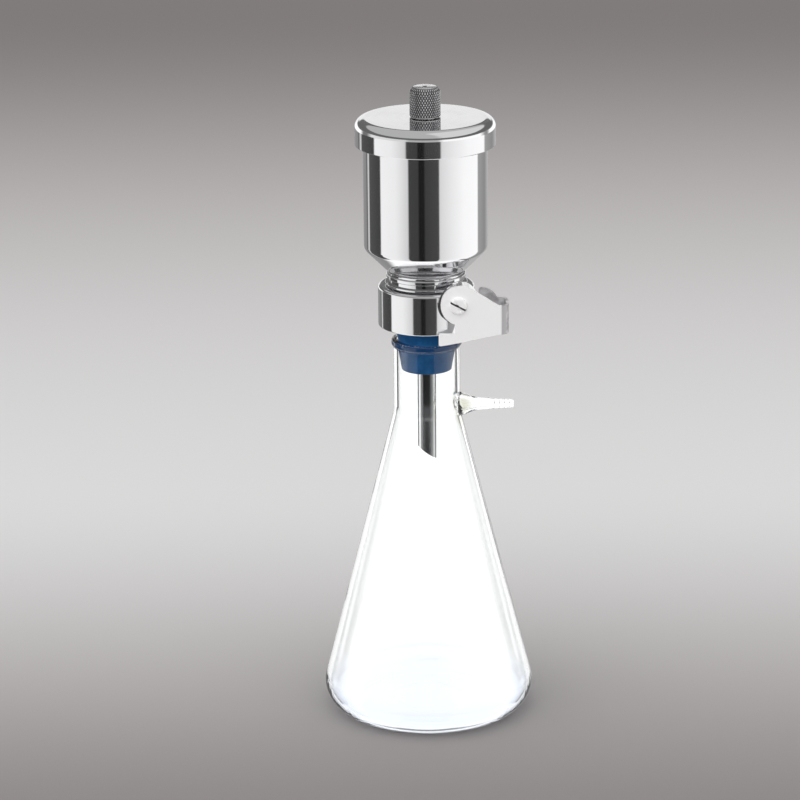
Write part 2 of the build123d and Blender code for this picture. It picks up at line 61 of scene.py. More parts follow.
Triple: TypeAlias = tuple[float, float, float]
Colour: TypeAlias = Triple
Operand: TypeAlias = "Wire | float | tuple"


# ------------------------------------------------------------------ node graphs
class Wire:
    """One output socket, with arithmetic that adds Math nodes to its graph."""

    def __init__(self, graph: "Graph", socket: bpy.types.NodeSocket) -> None:
        """Keeps the graph and the socket."""
        self.graph = graph
        self.socket = socket

    def output(self, name: str) -> "Wire":
        """Another output of the same node.

        Args:
            name: the output's name, as the node shows it.

        Returns:
            The wire that starts there.
        """
        return Wire(self.graph, self.socket.node.outputs[name])

    def _math(self, operation: str, *operands: Operand, clamp: bool = False) -> "Wire":
        """Adds a Math node.

        Args:
            operation: what the node does.
            operands: its inputs, in order.
            clamp: whether the result is kept between 0 and 1.

        Returns:
            The result.
        """
        settings = {"operation": operation, "use_clamp": clamp}
        return self.graph.add("ShaderNodeMath", settings, dict(enumerate(operands)))

    def __add__(self, other: Operand) -> "Wire":
        """Sum."""
        return self._math("ADD", self, other)

    def __radd__(self, other: Operand) -> "Wire":
        """Sum, reflected."""
        return self._math("ADD", other, self)

    def __sub__(self, other: Operand) -> "Wire":
        """Difference."""
        return self._math("SUBTRACT", self, other)

    def __rsub__(self, other: Operand) -> "Wire":
        """Difference, reflected."""
        return self._math("SUBTRACT", other, self)

    def __mul__(self, other: Operand) -> "Wire":
        """Product."""
        return self._math("MULTIPLY", self, other)

    def __rmul__(self, other: Operand) -> "Wire":
        """Product, reflected."""
        return self._math("MULTIPLY", other, self)

    def __truediv__(self, other: Operand) -> "Wire":
        """Quotient."""
        return self._math("DIVIDE", self, other)

    def __pow__(self, other: Operand) -> "Wire":
        """Power."""
        return self._math("POWER", self, other)

    def __gt__(self, other: Operand) -> "Wire":
        """1 where this is greater, else 0."""
        return self._math("GREATER_THAN", self, other)

    def root(self) -> "Wire":
        """Square root."""
        return self._math("SQRT", self)

    def absolute(self) -> "Wire":
        """Absolute value."""
        return self._math("ABSOLUTE", self)

    def clamped(self) -> "Wire":
        """The value kept between 0 and 1."""
        return self._math("ADD", self, 0.0, clamp=True)

    def angle_to(self, other: "Wire") -> "Wire":
        """Angle whose tangent is this over the other, in radians."""
        return self._math("ARCTAN2", self, other)

    def arcsine(self) -> "Wire":
        """Angle whose sine this is, in radians."""
        return self._math("ARCSINE", self)

    def step(self, low: float, high: float) -> "Wire":
        """A smooth rise.

        Args:
            low: where it leaves 0.
            high: where it reaches 1.

        Returns:
            The rise, between 0 and 1.
        """
        settings = {"interpolation_type": "SMOOTHSTEP", "clamp": True}
        inputs = {"Value": self, "From Min": low, "From Max": high}
        return self.graph.add("ShaderNodeMapRange", settings, inputs)

    def band(self, low: float, high: float, edge: float) -> "Wire":
        """A smooth band, 1 between two values.

        Args:
            low: where the band starts.
            high: where it ends.
            edge: how wide each soft edge is, outside those values.

        Returns:
            The band's mask.
        """
        return self.step(low - edge, low) * (1.0 - self.step(high, high + edge))

    def between(self, first: Operand, second: Operand) -> "Wire":
        """A blend of two values.

        Args:
            first: the value where this wire is 0.
            second: the value where it is 1.

        Returns:
            The blended value.
        """
        return first + self * (second - first)


@dataclass(frozen=True)
class Grain:
    """How fine a noise is: cells to a metre, finer layers, and how strong those are."""

    scale: float
    layers: float = 2.0
    strength: float = 0.5


class Graph:
    """Adds nodes to one node tree."""

    def __init__(self, tree: bpy.types.NodeTree) -> None:
        """Empties the tree."""
        self.tree = tree
        tree.nodes.clear()

    def add(
        self,
        kind: str,
        settings: dict[str, object] | None = None,
        inputs: dict[str | int, Operand] | None = None,
        output: str | int = 0,
    ) -> Wire:
        """Adds one node.

        Args:
            kind: the node's type.
            settings: its properties, set first. "stops" are a colour ramp's stops.
            inputs: values or wires, by the input's name or place.
            output: the output that is wanted, by name or place.

        Returns:
            The wire that starts at that output.
        """
        node = self.tree.nodes.new(kind)
        for name, value in (settings or {}).items():
            if name == "stops":
                self._set_stops(node.color_ramp, value)
            else:
                setattr(node, name, value)
        for key, value in (inputs or {}).items():
            socket = node.inputs[key]
            if isinstance(value, Wire):
                self.tree.links.new(value.socket, socket)
            else:
                socket.default_value = value
        return Wire(self, node.outputs[output] if len(node.outputs) else None)

    @staticmethod
    def _set_stops(ramp: bpy.types.ColorRamp, stops: list[tuple[float, Colour]]) -> None:
        """Gives a colour ramp its stops, as (place, colour) pairs in order."""
        while len(ramp.elements) > 1:
            ramp.elements.remove(ramp.elements[-1])
        ramp.elements[0].position = stops[0][0]
        ramp.elements[0].color = (*stops[0][1], 1.0)
        for place, colour in stops[1:]:
            ramp.elements.new(place).color = (*colour, 1.0)

    def mix_colour(self, share: Operand, first: Operand, second: Operand) -> Wire:
        """Mixes two colours.

        Args:
            share: how much of the second there is.
            first: a colour or wire.
            second: a colour or wire.

        Returns:
            The mixed colour.
        """
        inputs: dict[str | int, Operand] = {0: share}
        for socket, colour in ((6, first), (7, second)):
            inputs[socket] = colour if isinstance(colour, Wire) else (*colour, 1.0)
        settings = {"data_type": "RGBA", "clamp_factor": True}
        return self.add("ShaderNodeMix", settings, inputs, 2)

    def position(self) -> tuple[Wire, Wire, Wire, Wire]:
        """Place on the piece in the row's frame, in metres: x, y, z and the whole vector."""
        place = self.add("ShaderNodeTexCoord", output="Object")
        x = self.add("ShaderNodeSeparateXYZ", inputs={0: place})
        return x, x.output("Y"), x.output("Z"), place

    def stretched(self, place: Wire, scale: Triple) -> Wire:
        """A place with each axis scaled, which stretches a texture that reads it."""
        return self.add("ShaderNodeVectorMath", {"operation": "MULTIPLY"}, {0: place, 1: scale})

    def noise(self, place: Wire, grain: Grain) -> Wire:
        """Noise between 0 and 1.

        Args:
            place: where it is read.
            grain: how fine it is.

        Returns:
            The noise.
        """
        inputs = {
            "Vector": place,
            "Scale": grain.scale,
            "Detail": grain.layers,
            "Roughness": grain.strength,
        }
        return self.add("ShaderNodeTexNoise", None, inputs)

    def relief(self, height: Wire, depth: float, under: Wire | None = None) -> Wire:
        """Bump from a height.

        Args:
            height: from 0 to 1.
            depth: what 1 stands for, in metres.
            under: a bump that this one goes over.

        Returns:
            The normal.
        """
        inputs = {"Height": height, "Distance": depth, "Strength": 1.0}
        if under is not None:
            inputs["Normal"] = under
        return self.add("ShaderNodeBump", None, inputs)


# ------------------------------------------------------------------ finishes
class Finish(ABC):
    """A finish that makes one material, once."""

    name: str

    def material(self) -> bpy.types.Material:
        """The finish's material, made the first time it is asked for."""
        found = bpy.data.materials.get(self.name)
        if found is None:
            found = bpy.data.materials.new(self.name)
            found.use_nodes = True
            graph = Graph(found.node_tree)
            shader = self.shade(graph)
            graph.add("ShaderNodeOutputMaterial", None, {"Surface": shader})
        return found

    @abstractmethod
    def shade(self, graph: Graph) -> Wire:
        """Adds the finish's nodes and returns its shader."""

    @staticmethod
    def principled(graph: Graph, inputs: dict[str, Operand]) -> Wire:
        """A Principled shader with these inputs."""
        return graph.add("ShaderNodeBsdfPrincipled", None, inputs)


class Marks(Enum):
    """How the tool marks of a metal piece run."""

    TURNED = "rings about the unit's own axis"
    ALONG_X = "straight, along X"
    SPUN_ON_SHAFT = "rings about the clamp's shaft"


@dataclass(frozen=True)
class Steel(Finish):
    """Stainless steel, from mirror-polished to satin, with fine tool marks.

    Attributes:
        roughness, roughness_spread: the polish, and how far haze and smears vary it.
        smear_gain, smear_offset: haze and smears together, times the gain, less the offset.
        marks, mark_depth, mark_grain, mark_stretch: the fine tool marks.
        haze_share, haze_tone: how much the haze dims the colour, and down to what part.
        wave_depth, wave_grain, wave_stretch: the slow waviness of the surface.
        shaft: X and Z of the clamp's shaft.
    """

    name: str
    colour: Colour = (0.82, 0.82, 0.83)
    roughness: float = 0.07
    roughness_spread: float = 0.05
    smear_gain: float = 2.0
    smear_offset: float = 0.3
    marks: Marks = Marks.TURNED
    mark_depth: float = 0.4e-6
    mark_grain: Grain = Grain(1400.0, 3.0, 0.6)
    mark_stretch: float = 0.03
    smear_grain: Grain = Grain(160.0)
    haze_grain: Grain = Grain(45.0, 3.0, 0.55)
    haze_share: float = 0.5
    haze_tone: float = 0.93
    wave_depth: float = 18e-6
    wave_grain: Grain = Grain(34.0, 1.0)
    wave_stretch: Triple = (1.0, 1.0, 0.35)
    shaft: tuple[float, float] = (0.0245, 0.343)

    def shade(self, graph: Graph) -> Wire:
        """Polish that varies a little, over fine marks and a slow waviness."""
        x, y, z, place = graph.position()
        marks_place = self._marks_place(graph, x, y, z)
        marks = graph.noise(marks_place, self.mark_grain)
        haze = graph.noise(place, self.haze_grain)
        wave = graph.noise(graph.stretched(place, self.wave_stretch), self.wave_grain)
        smears = graph.noise(marks_place, self.smear_grain)
        spread = haze * smears * self.smear_gain - self.smear_offset
        hazy = tuple(self.haze_tone * part for part in self.colour)
        slow = graph.relief(wave, self.wave_depth)
        return self.principled(
            graph,
            {
                "Base Color": graph.mix_colour(haze * self.haze_share, self.colour, hazy),
                "Metallic": 1.0,
                "Roughness": (self.roughness + self.roughness_spread * spread).clamped(),
                "Normal": graph.relief(marks, self.mark_depth, slow),
            },
        )

    def _marks_place(self, graph: Graph, x: Wire, y: Wire, z: Wire) -> Wire:
        """Where the marks' noise is read, so that it runs the way the marks do."""
        if self.marks is Marks.TURNED:
            parts = ((x * x + y * y).root(), 0.0, z)
        elif self.marks is Marks.ALONG_X:
            parts = (x * self.mark_stretch, y, z)
        else:
            off_x = x - self.shaft[0]
            off_z = z - self.shaft[1]
            parts = ((off_x * off_x + off_z * off_z).root(), y, 0.0)
        return graph.add("ShaderNodeCombineXYZ", None, dict(enumerate(parts)))


@dataclass(frozen=True)
class KnobForm:
    """Outline of the vent knob's side and shoulder."""

    side: float
    top: float
    crown: float = 8.4 * MM
    shoulder: float = 5.2 * MM
    power: float = 2.2
    groove_depth: float = 0.45 * MM

    def rise(self, level: Operand) -> Operand:
        """How far up the shoulder a level is, 0 at its foot and 1 at the top."""
        return (level - self.top) / self.shoulder + 1.0

    def radius(self, rise: Operand) -> Operand:
        """The outline's radius at a rise."""
        return self.side - (self.side - self.crown) * rise**self.power


@dataclass(frozen=True)
class KnurledSteel(Finish):
    """Knurled steel: bright points over grooves in painted shade."""

    form: KnobForm
    name: str = "knurled_steel_diamonds"
    points: Colour = (0.92, 0.92, 0.93)
    # Painted shade: the colour down in the grooves.
    grooves: Colour = (0.05, 0.05, 0.055)
    crown_edge: tuple[float, float] = (-0.2 * MM, -0.1 * MM)
    roughness: float = 0.14
    roughness_spread: float = 0.16
    haze_grain: Grain = Grain(300.0, 3.0)

    def shade(self, graph: Graph) -> Wire:
        """Bright towards the points, with painted shade darker down in the grooves."""
        x, y, z, place = graph.position()
        outline = self.form.radius(self.form.rise(z).clamped())
        depth = outline - (x * x + y * y).root()
        side = 1.0 - z.step(*(self.form.top + edge for edge in self.crown_edge))
        # Painted shade, full at the grooves' depth, on the side but not on the crown.
        cut = side * depth.step(0.0, self.form.groove_depth)
        haze = graph.noise(place, self.haze_grain)
        return self.principled(
            graph,
            {
                "Base Color": graph.mix_colour(cut, self.points, self.grooves),
                "Metallic": 1.0,
                "Roughness": self.roughness + self.roughness_spread * haze,
            },
        )


@dataclass(frozen=True)
class FoldedSheet(Finish):
    """Sheet steel, blasted to a satin on its front, with painted light there and painted shade on
    its fold and back.
    """

    fold_x: float
    back_y: float
    name: str = "satin_sheet_lever"
    fold_edge: float = 1.5 * MM
    back_edge: float = 1.0 * MM
    # Painted light: the pale colours of the blasted front.
    pale: tuple[Colour, Colour] = ((0.97, 0.97, 0.97), (1.0, 1.0, 1.0))
    # Painted shade: darker on the fold, and spotted between the two colours on the back.
    fold_and_back_shade: tuple[Colour, Colour] = ((0.40, 0.39, 0.40), (0.78, 0.77, 0.78))
    metal: float = 0.85
    flat_metal_loss: float = 0.75
    back_metal_loss: float = 0.45
    roughness: float = 0.34
    flat_roughening: float = 0.20
    cloud_roughening: float = 0.06
    blast_grain: Grain = Grain(2400.0, 3.0, 0.6)
    blast_depth: float = 6e-6
    cloud_grain: Grain = Grain(70.0, 3.0)
    spot_grain: Grain = Grain(150.0)
    spot_contrast: tuple[float, float] = (0.30, 0.72)

    def shade(self, graph: Graph) -> Wire:
        """Pale satin plate in painted light, a shinier fold in painted shade, and a back in
        spotted painted shade.
        """
        x, y, _, place = graph.position()
        back = y.step(self.back_y, self.back_y + self.back_edge)
        flat = (1.0 - x.step(self.fold_x, self.fold_x + self.fold_edge)) * (1.0 - back)
        blasted = graph.noise(place, self.blast_grain)
        clouds = graph.noise(place, self.cloud_grain)
        spots = graph.noise(place, self.spot_grain).step(*self.spot_contrast)
        # Painted light on the front, and painted shade on the fold and the back.
        pale = graph.mix_colour(clouds, *self.pale)
        fold_and_back_shade = graph.mix_colour(back * spots, *self.fold_and_back_shade)
        metal = self.metal - self.flat_metal_loss * flat - self.back_metal_loss * back
        roughness = self.roughness + self.flat_roughening * flat
        roughness = roughness + self.cloud_roughening * clouds
        return self.principled(
            graph,
            {
                "Base Color": graph.mix_colour(flat, fold_and_back_shade, pale),
                "Metallic": metal,
                "Roughness": roughness,
                "Normal": graph.relief(blasted, self.blast_depth),
            },
        )


@dataclass(frozen=True)
class SlottedSteel(Finish):
    """Satin screw head, with painted shade down in its slot."""

    centre: tuple[float, float]
    slot_angle: float = -28.0
    slot_edge: tuple[float, float] = (0.63 * MM, 0.78 * MM)
    name: str = "satin_steel_screw"
    pale: tuple[Colour, Colour] = ((0.93, 0.93, 0.93), (1.0, 1.0, 1.0))
    # Painted shade: the near-black colour down in the slot.
    slot_shade: Colour = (0.020, 0.020, 0.022)
    metal: float = 0.12
    roughness: float = 0.52
    roughness_spread: float = 0.08
    cloud_grain: Grain = Grain(400.0, 3.0)

    def shade(self, graph: Graph) -> Wire:
        """Pale satin, with painted shade between the slot's two sides."""
        x, _, z, place = graph.position()
        tilt = radians(self.slot_angle)
        across = (x - self.centre[0]) * sin(tilt) - (z - self.centre[1]) * cos(tilt)
        # The slot's mask: painted shade, and no metal, between the slot's two sides.
        slot = 1.0 - across.absolute().step(*self.slot_edge)
        clouds = graph.noise(place, self.cloud_grain)
        pale = graph.mix_colour(clouds, *self.pale)
        return self.principled(
            graph,
            {
                "Base Color": graph.mix_colour(slot, pale, self.slot_shade),
                "Metallic": self.metal * (1.0 - slot),
                "Roughness": self.roughness + self.roughness_spread * clouds,
            },
        )


@dataclass(frozen=True)
class SinteredSteel(Finish):
    """Porous steel disc made of fused grains."""

    name: str = "sintered_steel_grains"
    cells: float = 5200.0
    pore_edge: tuple[float, float] = (0.25, 0.75)
    pore_depth: float = 60e-6
    grains: Colour = (0.60, 0.59, 0.57)
    # Painted shade: the colour down in the pores.
    pores: Colour = (0.22, 0.21, 0.20)
    roughness: float = 0.38
    roughness_spread: float = 0.25

    def shade(self, graph: Graph) -> Wire:
        """Grains, with painted shade in the pores between them."""
        _, _, _, place = graph.position()
        inputs = {"Vector": place, "Scale": self.cells}
        from_centre = graph.add("ShaderNodeTexVoronoi", None, inputs, "Distance")
        pores = from_centre.step(*self.pore_edge)
        return self.principled(
            graph,
            {
                "Base Color": graph.mix_colour(pores, self.grains, self.pores),
                "Metallic": 1.0,
                "Roughness": self.roughness + self.roughness_spread * pores,
                "Normal": graph.relief(1.0 - pores, self.pore_depth),
            },
        )


@dataclass(frozen=True)
class ClearGlass(Finish):
    """Clear borosilicate glass, faintly tinted where it is thick or worked."""

    name: str = "clear_glass_blown"
    index: float = 1.473
    clear: Colour = (0.985, 0.992, 0.990)
    nozzle: Triple = (0.027, 0.0, 0.246)
    joint_colour: Colour = (0.74, 0.74, 0.65)
    joint_squash: tuple[float, float] = (1.6, 0.75)
    joint_reach: tuple[float, float] = (6.0 * MM, 17.0 * MM)
    joint_share: float = 0.55
    joint_share_spread: float = 0.45
    cloud_grain: Grain = Grain(30.0)
    heel_colour: Colour = (0.740, 0.800, 0.930)
    heel_share: float = 0.55
    heel_height: tuple[float, float] = (4.0 * MM, 34.0 * MM)
    wave_depth: float = 60e-6
    wave_grain: Grain = Grain(26.0, 1.0)
    wave_stretch: Triple = (1.0, 1.0, 0.5)

    def shade(self, graph: Graph) -> Wire:
        """Clear glass with a straw tint at the nozzle's joint and a blue one at the heel."""
        x, y, z, place = graph.position()
        off_x = (x - self.nozzle[0]) * self.joint_squash[0]
        off_z = (z - self.nozzle[2]) * self.joint_squash[1]
        reach = (off_x * off_x + y * y + off_z * off_z).root()
        joint = 1.0 - reach.step(*self.joint_reach)
        heel = 1.0 - z.step(*self.heel_height)
        clouds = graph.noise(place, self.cloud_grain)
        clear = graph.mix_colour(heel * self.heel_share, self.clear, self.heel_colour)
        straw = joint * (self.joint_share + self.joint_share_spread * clouds)
        wave = graph.noise(graph.stretched(place, self.wave_stretch), self.wave_grain)
        return self.principled(
            graph,
            {
                "Base Color": graph.mix_colour(straw, clear, self.joint_colour),
                "Roughness": 0.0,
                "IOR": self.index,
                "Transmission Weight": 1.0,
                "Normal": graph.relief(wave, self.wave_depth),
            },
        )


@dataclass(frozen=True)
class Rubber(Finish):
    """Moulded rubber or silicone with a satin skin."""

    name: str
    colour: Colour
    worn_colour: Colour
    roughness: float = 0.42
    roughness_spread: float = 0.12
    contact: tuple[float, float] | None = None
    # Painted shade: the darker colour of the squeezed band.
    contact_colour: Colour = (0.0, 0.0, 0.0)
    contact_edge: float = 0.6 * MM
    contact_polish: float = 0.18
    gloss: float = 0.5
    mottle_grain: Grain = Grain(120.0, 4.0, 0.6)
    mottle_contrast: tuple[float, float] = (0.35, 0.75)
    skin_grain: Grain = Grain(2600.0)
    skin_depth: float = 12e-6

    def shade(self, graph: Graph) -> Wire:
        """Mottled satin skin, and a smoother, wet-looking band in painted shade where it is
        squeezed.
        """
        _, _, z, place = graph.position()
        mottle = graph.noise(place, self.mottle_grain)
        skin = graph.noise(place, self.skin_grain)
        worn = mottle.step(*self.mottle_contrast)
        tint = graph.mix_colour(worn, self.colour, self.worn_colour)
        roughness = self.roughness + self.roughness_spread * (mottle - 0.5)
        if self.contact is not None:
            # Painted shade in the squeezed band, which is also made smoother.
            pressed = z.band(*self.contact, self.contact_edge)
            tint = graph.mix_colour(pressed, tint, self.contact_colour)
            roughness = roughness - self.contact_polish * pressed
        return self.principled(
            graph,
            {
                "Base Color": tint,
                "Roughness": roughness,
                "Specular IOR Level": self.gloss,
                "Normal": graph.relief(skin, self.skin_depth),
            },
        )


@dataclass(frozen=True)
class Mottled(Finish):
    """One pale stuff, mottled between two colours."""

    name: str
    colours: tuple[Colour, Colour]
    grain: Grain
    depth: float
    roughness: float
    roughness_spread: float = 0.0

    def shade(self, graph: Graph) -> Wire:
        """A mottle that shows in the colour, the roughness and the relief."""
        _, _, _, place = graph.position()
        mottle = graph.noise(place, self.grain)
        return self.principled(
            graph,
            {
                "Base Color": graph.mix_colour(mottle, *self.colours),
                "Roughness": self.roughness + self.roughness_spread * mottle,
                "Normal": graph.relief(mottle, self.depth),
            },
        )


WHITE_SILICONE = Rubber("white_silicone_seal", (0.80, 0.80, 0.78), (0.88, 0.88, 0.86), 0.5)
BLACK_RUBBER = Rubber("black_rubber_ring", (0.020, 0.020, 0.022), (0.045, 0.045, 0.048), 0.38)
FILTER_FELT = Mottled(
    name="white_filter_felt",
    colours=((0.70, 0.69, 0.66), (0.93, 0.93, 0.91)),
    grain=Grain(3800.0, 5.0, 0.75),
    depth=120e-6,
    roughness=0.95,
)
BUSH_PLASTIC = Mottled(
    name="natural_bush_plastic",
    colours=((0.86, 0.84, 0.78), (0.93, 0.92, 0.88)),
    grain=Grain(260.0, 3.0),
    depth=10e-6,
    roughness=0.40,
    roughness_spread=0.1,
)


# ------------------------------------------------------------------ dressing
def dress(node: str, finish: Finish) -> None:
    """Gives a CAD node its finish.

    Args:
        node: the node's name.
        finish: what it is made of.
    """
    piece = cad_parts[node]
    for material_slot in piece.material_slots:
        material_slot.material = finish.material()
    LOG.info("dressed %s in %s", node, finish.name)


def add_piece(
    name: str, mesh: bpy.types.Mesh, finish: Finish, body: str, replaced: str
) -> None:
    """Adds a piece of the scene's own, in the place of a CAD node.

    Args:
        name: the piece's name.
        mesh: its mesh, in the row's frame.
        finish: what it is made of.
        body: the CAD body that it rides on.
        replaced: the CAD node that it stands for.
    """
    piece = bpy.data.objects.new(name, mesh)
    bpy.context.scene.collection.objects.link(piece)
    mesh.materials.append(finish.material())
    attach(piece, body)
    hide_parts(replaced)
    LOG.info("built %s with %d faces on %s", name, len(mesh.polygons), body)


# ------------------------------------------------------------------ turned meshes
@dataclass(frozen=True)
class Ring:
    """One ring of a turned surface, and how deep its pattern is cut there."""

    radius: float
    level: float
    cut: float = 0.0


def turned_mesh(
    name: str, rings: list[Ring], columns: int, pattern: Callable[[float, float], float]
) -> bpy.types.Mesh:
    """A closed surface of revolution with a pattern cut into it.

    Args:
        name: the mesh's name.
        rings: the rings in order, around the profile and back to the first.
        columns: how many points each ring has.
        pattern: how much of the cut is taken, from 0 to 1, at an angle in radians and a level.

    Returns:
        The mesh, smooth but for its sharp edges.
    """
    places = []
    for ring in rings:
        for column in range(columns):
            angle = 2 * pi * column / columns
            radius = ring.radius - ring.cut * pattern(angle, ring.level)
            places.append((radius * cos(angle), radius * sin(angle), ring.level))
    faces = []
    for row in range(len(rings)):
        here, above = row * columns, (row + 1) % len(rings) * columns
        for column in range(columns):
            beside = (column + 1) % columns
            faces.append((here + column, here + beside, above + beside, above + column))
    mesh = bpy.data.meshes.new(name)
    mesh.from_pydata(places, [], faces)
    mesh.shade_smooth()
    mesh.set_sharp_from_angle(angle=radians(SHARP_ANGLE))
    return mesh


def ridge(turns: float) -> float:
    """How deep a V groove is, 1 at each whole turn and 0 halfway."""
    return abs(2 * (turns - floor(turns)) - 1)


# ------------------------------------------------------------------ sub-assemblies
class Assembly(ABC):
    """A part of the scene that builds itself."""

    @abstractmethod
    def build(self) -> None:
        """Builds and dresses the part."""


@dataclass(frozen=True)
class Flask(Assembly):
    """Conical filter flask of blown glass."""

    glass: ClearGlass = ClearGlass()

    def build(self) -> None:
        """Dresses the flask."""
        dress("filter_flask", self.glass)


@dataclass(frozen=True)
class Stopper(Assembly):
    """Tapered blue stopper in the flask's neck, squeezed where the neck's rim grips it."""

    rubber: Rubber = Rubber(
        name="blue_rubber_moulded",
        colour=(0.008, 0.070, 0.200),
        worn_colour=(0.016, 0.105, 0.270),
        contact=(300.0 * MM, 305.5 * MM),
        # Painted shade where the neck's rim grips the stopper.
        contact_colour=(0.005, 0.050, 0.160),
        gloss=0.08,
    )

    def build(self) -> None:
        """Dresses the stopper."""
        dress("rubber_stopper", self.rubber)


@dataclass(frozen=True)
class Holder(Assembly):
    """Base housing with its drain tube, frit and seal."""

    body_steel: Steel = Steel("polished_steel_holder")
    tube_steel: Steel = Steel(
        "polished_steel_tube", roughness=0.05, roughness_spread=0.02, wave_depth=6e-6
    )

    def build(self) -> None:
        """Dresses the holder's pieces."""
        dress("base_housing", self.body_steel)
        dress("outlet_tube", self.tube_steel)
        dress("frit_gasket", WHITE_SILICONE)
        dress("filter_frit", SinteredSteel())


@dataclass(frozen=True)
class Funnel(Assembly):
    """Spun funnel and the ring in its foot."""

    steel: Steel = Steel("polished_steel_funnel", roughness=0.05)

    def build(self) -> None:
        """Dresses the funnel's pieces."""
        dress("funnel", self.steel)
        dress("funnel_o_ring", BLACK_RUBBER)


@dataclass(frozen=True)
class LidAndVent(Assembly):
    """Lid with the vent's nut, felt and seals."""

    def build(self) -> None:
        """Dresses the lid's pieces."""
        dress("funnel_lid", Steel("polished_steel_lid", roughness=0.06, wave_depth=8e-6))
        dress("lid_gasket", WHITE_SILICONE)
        dress("stud_gasket", WHITE_SILICONE)
        dress("stud_nut", Steel("polished_steel_nut", roughness=0.16))
        dress("vent_filter", FILTER_FELT)
        dress("knob_o_ring", BLACK_RUBBER)


@dataclass(frozen=True)
class Knob(Assembly):
    """Vent knob with a diamond knurl over its side and shoulder.

    Attributes:
        knurl_count: grooves of one family around the knob.
        knurl_lead: how far the grooves lean from the upright.
        rows, columns: points of the knurled side, up and around.
        foot_inset, foot_height: the plain foot's chamfer.
        edges_height: the foot's and the crown's chamfers together.
        foot_fade, crown_fade: how soon the knurl is full from either end, as 1 over its share.
        crown_inset: the crown's chamfer.
        vent_edge: the vent hole's chamfer.
        crown_thickness: from the top down to the bore's ceiling.
        bore_radius: the threaded bore.
        collar_bore, collar_recess: the recess over the stud's collar.
    """

    knurl_count: int = 36
    knurl_lead: float = 30.0
    rows: int = 110
    columns: int = 504
    foot_inset: float = 0.5 * MM
    foot_height: float = 0.3 * MM
    edges_height: float = 0.5 * MM
    foot_fade: float = 30.0
    crown_fade: float = 60.0
    crown_inset: float = 0.3 * MM
    vent_edge: float = 0.4 * MM
    crown_thickness: float = 12.9 * MM
    bore_radius: float = 5.08 * MM
    collar_bore: float = 8.68 * MM
    collar_recess: float = 1.5 * MM

    def build(self) -> None:
        """Turns the knob around the outline of the CAD's own."""
        low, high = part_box("vent_knob")
        bottom, top = low[2], high[2]
        form = KnobForm(side=high[0], top=top)
        slope = tan(radians(self.knurl_lead)) / form.side
        turns = self.knurl_count / (2 * pi)

        def knurl(angle: float, level: float) -> float:
            """Two families of V grooves that cross."""
            skew = slope * (level - bottom)
            return max(ridge(turns * (angle + skew)), ridge(turns * (angle - skew)))

        rings = [Ring(form.side - self.foot_inset, bottom)]
        for row in range(self.rows + 1):
            share = row / self.rows
            level = bottom + self.foot_height + share * (top - bottom - self.edges_height)
            radius = form.radius(max(0.0, form.rise(level)))
            fade = min(1.0, self.foot_fade * share, self.crown_fade * (1 - share))
            rings.append(Ring(radius, level, form.groove_depth * fade))
        ceiling = top - self.crown_thickness
        recess = bottom + self.collar_recess
        rings += [
            Ring(form.crown - self.crown_inset, top),
            Ring(VENT_RADIUS + self.vent_edge, top),
            Ring(VENT_RADIUS, top - self.vent_edge),
            Ring(VENT_RADIUS, ceiling),
            Ring(self.bore_radius, ceiling),
            Ring(self.bore_radius, recess),
            Ring(self.collar_bore, recess),
            Ring(self.collar_bore, bottom),
        ]
        mesh = turned_mesh("knurled_knob", rings, self.columns, knurl)
        add_piece("knurled_knob", mesh, KnurledSteel(form), "knob", "vent_knob")


@dataclass(frozen=True)
class Stud(Assembly):
    """Hollow stud that carries the vent knob, with a real thread above its collar.

    Attributes:
        radius, tail_radius: the outside above the collar, and within and below the lid.
        collar_height, collar_edge: the collar on the lid and its chamfer.
        pitch, thread_depth: the thread's.
        thread_fade: how soon the thread is full from either end, as 1 over its share.
        rows, columns: points of the thread, up and around.
    """

    radius: float = 5.0 * MM
    tail_radius: float = 4.0 * MM
    collar_height: float = 2.0 * MM
    collar_edge: float = 0.3 * MM
    pitch: float = 1.5 * MM
    thread_depth: float = 0.75 * MM
    thread_fade: float = 12.0
    rows: int = 110
    columns: int = 96

    def build(self) -> None:
        """Turns the stud around the outline of the CAD's own."""
        low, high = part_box("vent_stud")
        bottom, top, collar = low[2], high[2], high[0]
        lid_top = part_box("funnel_lid")[1][2]
        collar_top = lid_top + self.collar_height

        def thread(angle: float, level: float) -> float:
            """One V groove that climbs with the pitch."""
            return ridge(level / self.pitch - angle / (2 * pi))

        rings = [
            Ring(VENT_RADIUS, top),
            Ring(VENT_RADIUS, bottom),
            Ring(self.tail_radius, bottom),
            Ring(self.tail_radius, lid_top),
            Ring(collar, lid_top),
            Ring(collar, collar_top - self.collar_edge),
            Ring(collar - self.collar_edge, collar_top),
        ]
        for row in range(self.rows + 1):
            share = row / self.rows
            level = collar_top + share * (top - collar_top)
            fade = min(1.0, self.thread_fade * share, self.thread_fade * (1 - share))
            rings.append(Ring(self.radius, level, self.thread_depth * fade))
        mesh = turned_mesh("threaded_stud", rings, self.columns, thread)
        steel = Steel("polished_steel_thread", roughness=0.16)
        add_piece("threaded_stud", mesh, steel, "unit", "vent_stud")


@dataclass(frozen=True)
class Clamp(Assembly):
    """Quick-release clamp: boss, bushes, shaft, folded lever, screw and clip."""

    sheet: float = 2.0 * MM
    fold_width: float = 6.4 * MM

    def build(self) -> None:
        """Dresses the clamp's pieces."""
        spun = Steel("polished_steel_boss", roughness=0.12, marks=Marks.SPUN_ON_SHAFT)
        milled = Steel("polished_steel_shaft", roughness=0.12, marks=Marks.ALONG_X)
        dress("pivot_boss", spun)
        dress("front_bush", BUSH_PLASTIC)
        dress("rear_bush", BUSH_PLASTIC)
        dress("locking_shaft", milled)
        low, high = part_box("clamp_lever")
        dress("clamp_lever", FoldedSheet(high[0] - self.fold_width, low[1] + self.sheet))
        low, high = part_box("lever_screw")
        dress("lever_screw", SlottedSteel(((low[0] + high[0]) / 2, (low[2] + high[2]) / 2)))
        dress("shaft_clip", Steel("spring_steel_clip", (0.42, 0.42, 0.43), 0.32))


